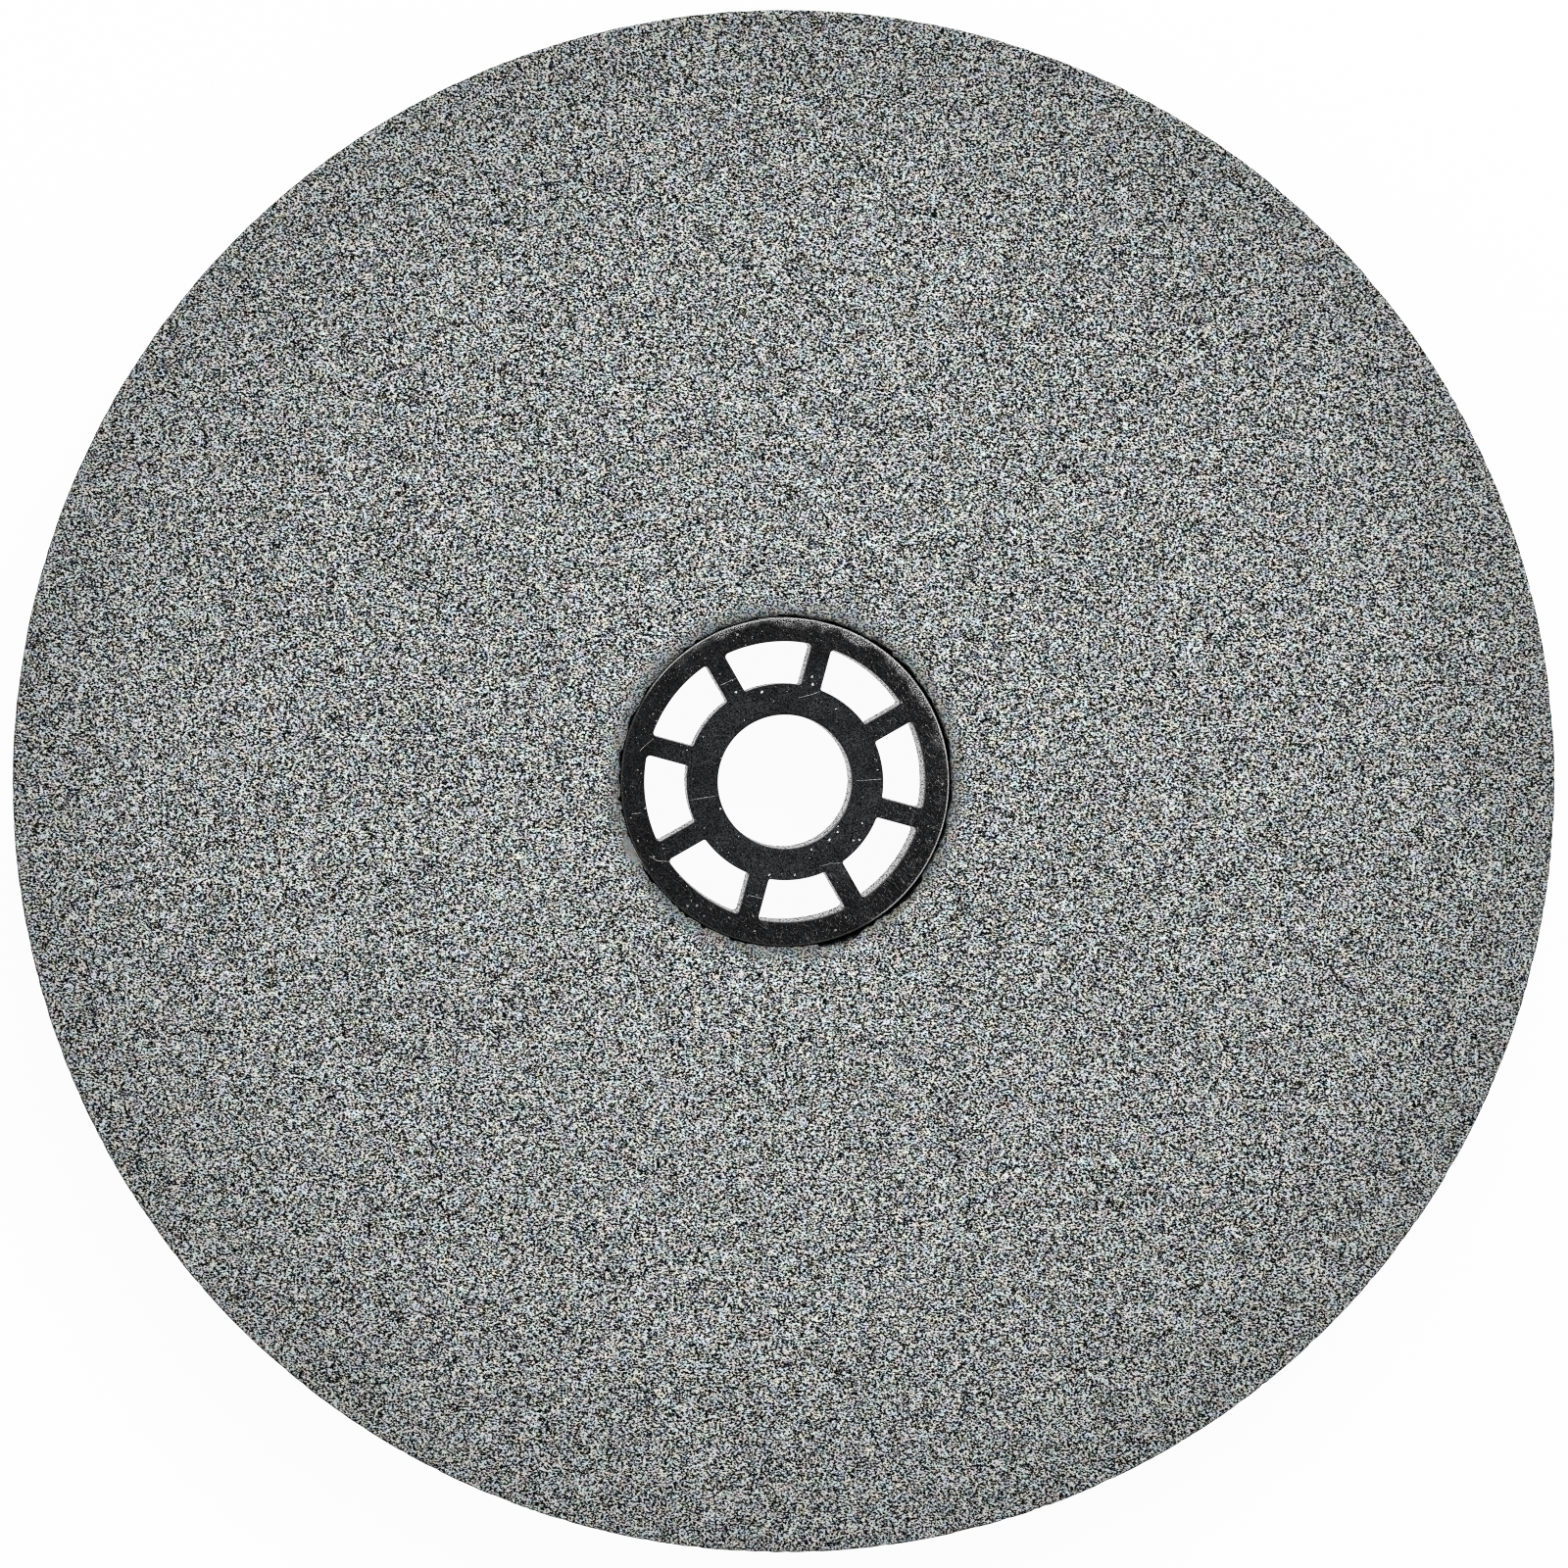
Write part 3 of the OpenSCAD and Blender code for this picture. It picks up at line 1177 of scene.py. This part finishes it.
    def walls(self, outline: Outline, edge: float) -> tuple[Array, Array, Array]:
        """Carries the edge and wall section along an outline.

        Args:
            outline: the outline to follow.
            edge: size of the rolled edge or chamfer.

        Returns:
            The points, row by row from the front face to the rear face, how much each is wall, and
            how much each is rolled edge.
        """
        section = self.edge_section(edge, 2.0 if edge < self.lead_in else self.lead_in_power)
        inset = np.concatenate([section[:, 0], [0.0, 0.0], section[::-1, 0]])
        drop = section[:, 1]
        middle = np.linspace(self.high - edge, self.low + edge, 4)[1:-1]
        height = np.concatenate([self.high - drop, middle, self.low + drop[::-1]])
        flat = outline.points[None] + outline.inward[None] * inset[:, None, None]
        tall = np.broadcast_to(height[:, None, None], flat.shape[:2] + (1,))
        on_wall = (inset < 0.12 * edge).astype(float)
        rolled = np.sin(math.pi * np.clip(1.25 * inset / edge, 0.0, 1.0)) ** 1.5
        count = len(outline.points)
        points = np.concatenate([flat, tall], axis=2).reshape(-1, 3)
        return points, np.repeat(on_wall, count), np.repeat(rolled, count)

    def build(self) -> None:
        """Makes the moulding from its walls and two flat faces, as one closed mesh."""
        shells, faces, start = [], [], 0
        for outline, edge in self.outlines():
            shells.append(self.walls(outline, edge))
            total, count = len(shells[-1][0]), len(outline.points)
            faces.append(grid_quads(total // count, count, False) + start)
            start += total
        points, wall, rolled = (np.concatenate(rows) for rows in zip(*shells))
        piece = new_piece(
            "bush_moulding", points, np.concatenate(faces), self.finish, wall=wall, rolled=rolled
        )
        close_up(piece, self.high, self.low)
        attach(piece, "root")
        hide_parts("reducing_bush")
        log.info("%s: %d faces", piece.name, len(piece.data.polygons))

    def on_face(self, x: Array, y: Array) -> Array:
        """True where a point lies on the flat face of the ring, the hub or a spoke.

        The distance from the nearest spoke's middle is the radius times the sine of the angle to it.

        Args:
            x: places across.
            y: places up.

        Returns:
            One truth value for each.
        """
        radius, angle = np.hypot(x, y), np.arctan2(y, x) - self.first_spoke
        pitch = FULL_TURN / self.spokes
        off_spoke = np.abs(radius * np.sin((angle + pitch / 2) % pitch - pitch / 2))
        on_ring = radius > self.radius - self.ring_wall + 0.2 * MM
        on_hub = radius < self.hub_radius - 0.2 * MM
        within = (radius > self.bore_radius + 0.4 * MM) & (radius < self.radius - 0.3 * MM)
        return within & (on_ring | on_hub | (off_spoke < self.spoke_width / 2 - 0.15 * MM))


@dataclass
class WeldLines:
    """Fine raised lines on the front of the bush, where streams of plastic met in the mould.

    A route is two or three points in millimetres; three make a bent line.
    """

    finish: Material
    height: float
    half_width: float = 0.045 * MM
    rise: float = 0.03 * MM
    waver: float = 0.09 * MM
    waver_cell: float = 0.4 * MM
    swell_cell: float = 0.25 * MM
    apart: float = 3.0 * MM
    steps: int = 24
    sides: int = 6
    seed: int = 5
    routes: tuple[tuple[Floats, ...], ...] = (
        ((6.88, 0.10), (9.50, 0.28)),
        ((-9.30, -1.78), (-6.88, -1.38)),
        ((1.26, 8.19), (2.48, 8.43), (3.51, 8.86)),
        ((3.32, -8.23), (4.42, -7.93), (5.55, -7.89)),
        ((-6.31, 9.40), (-4.79, 10.08)),
        ((-3.63, -11.02), (-2.24, -11.33)),
        ((-14.15, 2.96), (-13.60, 3.57), (-12.75, 4.24)),
        ((-13.24, -7.19), (-12.39, -7.68), (-11.17, -7.75)),
        ((-14.94, -3.12), (-13.98, -2.98)),
    )

    def line(self, route: Sequence[Floats], number: int) -> Array:
        """A flattened tube along a route: an ellipse on each step, thinned to nothing at both ends.

        Args:
            route: the points to pass.
            number: which line it is, for its own small waver.

        Returns:
            The points on a grid of steps by sides.
        """
        given = np.array(route) * MM
        share = np.linspace(0.0, 1.0, self.steps)
        knots = np.linspace(0.0, 1.0, len(given))
        path = np.stack([np.interp(share, knots, given[:, k]) for k in (0, 1)], axis=1)
        along = np.gradient(path, axis=0)
        along /= np.linalg.norm(along, axis=1, keepdims=True)
        side = np.stack([-along[:, 1], along[:, 0]], axis=1)
        probe = np.column_stack([path, np.full(self.steps, number * self.apart)])
        waver = (value_noise(probe, self.waver_cell, self.seed) - 0.5) * self.waver
        path = path + side * (waver * np.sin(math.pi * share))[:, None]
        swell = np.sin(math.pi * np.clip(share, 0.02, 0.98)) ** 0.3
        swell *= 0.6 + 0.6 * value_noise(probe, self.swell_cell, self.seed + 1)
        turn = FULL_TURN * np.arange(self.sides) / self.sides
        reach = self.half_width * swell[:, None] * np.cos(turn)
        flat = path[:, None] + side[:, None] * reach[..., None]
        tall = self.height + self.rise * swell[:, None] * np.sin(turn)
        return np.concatenate([flat, tall[..., None]], axis=2).reshape(-1, 3)

    def build(self) -> None:
        """Makes all the lines as one piece of closed tubes."""
        lines = [self.line(route, number) for number, route in enumerate(self.routes)]
        tube = grid_quads(self.steps, self.sides, False)[:, ::-1].tolist()
        cap = list(range(self.sides))
        tube += [cap, [(self.steps - 1) * self.sides + corner for corner in reversed(cap)]]
        starts = range(0, len(lines) * self.steps * self.sides, self.steps * self.sides)
        faces = [[start + corner for corner in face] for start in starts for face in tube]
        piece = new_piece("weld_lines", np.concatenate(lines), faces, self.finish)
        close_up(piece)
        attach(piece, "root")
        log.info("%s: %d lines", piece.name, len(self.routes))


@dataclass
class StoneDust:
    """Loose grains of the wheel that lie on the front of the bush, thickest by its upper right edge."""

    finish: Material
    bush: ReducingBush
    count: int = 900
    tries: int = 12
    least: float = 0.25
    by_edge: Fade = Fade(12.0 * MM, 15.8 * MM)
    dusty_way: Floats = (0.5, 0.85)
    dusty_side: Fade = Fade(-12.0 * MM, 14.0 * MM, 0.2, 1.0)
    size: float = 0.030
    size_spread: float = 0.45
    size_limits: Floats = (0.015, 0.09)
    stretch: Floats = (0.6, 1.4)
    flatness: float = 0.6
    lift: float = 0.2
    seed: int = 23

    def build(self) -> None:
        """Scatters small eight-sided grains: each is a stretched octahedron turned at random."""
        pick = np.random.default_rng(self.seed)
        reach = self.bush.radius
        spread = pick.uniform(-reach, reach, (self.count * self.tries, 2))
        thick = self.by_edge.of(np.hypot(*spread.T)) * self.dusty_side.of(spread @ np.array(self.dusty_way))
        kept = self.bush.on_face(*spread.T) & (pick.uniform(0, 1, len(spread)) < self.least + thick)
        spread = spread[kept][: self.count]
        count = len(spread)
        size = np.exp(pick.normal(math.log(self.size), self.size_spread, count)).clip(*self.size_limits) * MM
        corners = np.array([[1, 0, 0], [0, 1, 0], [-1, 0, 0], [0, -1, 0], [0, 0, 1], [0, 0, -1]], float)
        stretch = pick.uniform(*self.stretch, (count, 1, 3)) * np.array([1.0, 1.0, self.flatness])
        shape = corners[None] * stretch * size[:, None, None]
        angle = pick.uniform(0, FULL_TURN, count)
        cos, sin = np.cos(angle)[:, None], np.sin(angle)[:, None]
        x = shape[..., 0] * cos - shape[..., 1] * sin + spread[:, :1]
        y = shape[..., 0] * sin + shape[..., 1] * cos + spread[:, 1:]
        z = shape[..., 2] + self.bush.high + self.lift * size[:, None]
        sides = [(i, (i + 1) % 4, 4) for i in range(4)] + [((i + 1) % 4, i, 5) for i in range(4)]
        faces = (np.array(sides)[None] + 6 * np.arange(count)[:, None, None]).reshape(-1, 3)
        piece = new_piece("stone_dust", np.stack([x, y, z], axis=2).reshape(-1, 3), faces, self.finish)
        piece.data.shade_flat()
        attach(piece, "root")
        log.info("%s: %d grains", piece.name, count)


# The studio


class Panel(Enum):
    """Soft lamps round the table: place in metres, side in metres and power in watts."""

    TOP_KEY = ((0.28, 0.83, 1.12), 0.63, 12.1)
    LEFT_FILL = ((-0.98, 0.20, 1.17), 0.78, 2.9)
    RIGHT_FILL = ((1.04, 0.26, 0.98), 0.78, 2.6)


@dataclass
class Studio:
    """The white table, the white surround, the lamps and the camera."""

    face_height: float
    ambient: float = 0.32
    shadow_share: float = 0.04
    table_half: float = 3.0
    table_drop: float = 0.02 * MM
    table_paint: Floats = (0.9, 0.9, 0.9, 1.0)
    distance: float = 1.0
    tilt: float = math.radians(1.7)
    tilt_side: Floats = (-0.87, 0.5)
    photo_pixels: int = 1600
    pixel: float = 0.09527 * MM
    centre_pixel: Floats = (801.2, 798.0)
    sensor: float = 36.0
    pixel_filter: float = 1.0

    def build(self) -> None:
        """Makes the whole studio."""
        self.surround()
        self.table()
        for panel in Panel:
            self.lamp(panel)
        self.camera()
        bpy.context.scene.view_settings.view_transform = "Standard"
        bpy.context.scene.cycles.use_denoising = False
        bpy.context.scene.cycles.filter_width = self.pixel_filter
        log.info("studio: %d lamps", len(Panel))

    def surround(self) -> None:
        """White all round as it is seen, and a weaker even light on the object."""
        world = bpy.data.worlds.new("white_surround")
        bpy.context.scene.world = world
        tree = ShaderTree(emptied(world))
        lit = tree.add("ShaderNodeBackground", {"Color": WHITE, "Strength": self.ambient})
        shown = tree.add("ShaderNodeBackground", {"Color": WHITE, "Strength": 1.0})
        both = tree.either(tree.seen_directly(), lit, shown)
        tree.add("ShaderNodeOutputWorld", {"Surface": both.outputs[0]})

    def table(self) -> None:
        """A white table just under the wheel.

        Seen directly it is white, with a small share of paint that keeps a little of the wheel's
        shadow. To all other rays it gives the same even light as the surround.
        """
        material = bpy.data.materials.new("white_table")
        tree = ShaderTree(emptied(material))
        paint = tree.add("ShaderNodeBsdfDiffuse", {"Color": self.table_paint})
        even = tree.add("ShaderNodeEmission", {"Color": WHITE, "Strength": self.ambient})
        glow = tree.add("ShaderNodeEmission", {"Color": WHITE, "Strength": 1.0})
        seen = tree.seen_directly()
        both = tree.either(tree.times(seen, 1.0 - self.shadow_share), tree.either(seen, even, paint), glow)
        tree.add("ShaderNodeOutputMaterial", {"Surface": both.outputs[0]})
        corners = np.array([[-1, -1], [1, -1], [1, 1], [-1, 1]]) * self.table_half
        corners = np.column_stack([corners, np.full(4, -self.table_drop)])
        new_piece("white_table", corners, [(0, 1, 2, 3)], material)

    @staticmethod
    def lamp(panel: Panel) -> None:
        """Hangs one square lamp that faces the middle of the wheel.

        Args:
            panel: which lamp.
        """
        place, side, power = panel.value
        data = bpy.data.lights.new(panel.name.lower(), "AREA")
        data.size = side
        data.energy = power
        lamp = bpy.data.objects.new(panel.name.lower(), data)
        lamp.location = place
        lamp.rotation_euler = (-Vector(place)).to_track_quat("-Z", "Y").to_euler()
        bpy.context.scene.collection.objects.link(lamp)

    def camera(self) -> None:
        """Looks down on the wheel from the photo's side of the axis, with the photo's framing."""
        lean = math.tan(self.tilt)
        toward = Vector((self.tilt_side[0] * lean, self.tilt_side[1] * lean, 1.0)).normalized()
        half = self.photo_pixels / 2
        right, down = (pixel - half for pixel in self.centre_pixel)
        aim = Vector((-right * self.pixel, down * self.pixel, self.face_height))
        data = bpy.data.cameras.new("camera")
        data.sensor_width = self.sensor
        data.lens = self.sensor * self.distance / (self.photo_pixels * self.pixel)
        data.clip_start = 0.01
        camera = bpy.data.objects.new("camera", data)
        camera.location = aim + toward * self.distance
        right = Vector((0.0, 1.0, 0.0)).cross(toward).normalized()
        camera.rotation_euler = Matrix((right, toward.cross(right), toward)).transposed().to_euler()
        bpy.context.scene.collection.objects.link(camera)
        bpy.context.scene.camera = camera


def smallest_radius(node: str) -> float:
    """Smallest distance of a CAD node's vertices from the bore's axis: the radius of its hole.

    Args:
        node: name of the node.

    Returns:
        The distance in metres.
    """
    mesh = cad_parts[node].data
    places = np.zeros(len(mesh.vertices) * 3, np.float32)
    mesh.vertices.foreach_get("co", places)
    flat = places.reshape(-1, 3)[:, :2]
    return float(np.hypot(flat[:, 0], flat[:, 1]).min())


def main() -> None:
    """Builds the studio, the disc and the bush."""
    logging.basicConfig(level=logging.INFO, format="%(message)s")
    wheel_low, wheel_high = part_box("abrasive_wheel")
    bush_low, bush_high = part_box("reducing_bush")
    Studio(face_height=wheel_high.z).build()
    hole = smallest_radius("abrasive_wheel")
    abrasive = VitrifiedAbrasive(wheel_radius=wheel_high.x, hole_radius=hole).make()
    AbrasiveWheel(abrasive, wheel_high.x, hole, wheel_high.z - wheel_low.z).build()
    plastic = MouldedPlastic(bush_radius=bush_high.x, face_height=bush_high.z).make()
    bore = smallest_radius("reducing_bush")
    bush = ReducingBush(plastic, bush_high.x, bush_low.z, bush_high.z, bore_radius=bore)
    bush.build()
    marks = PaleMark().make()
    WeldLines(marks, bush.high).build()
    StoneDust(marks, bush).build()


if __name__ == "__main__":
    main()
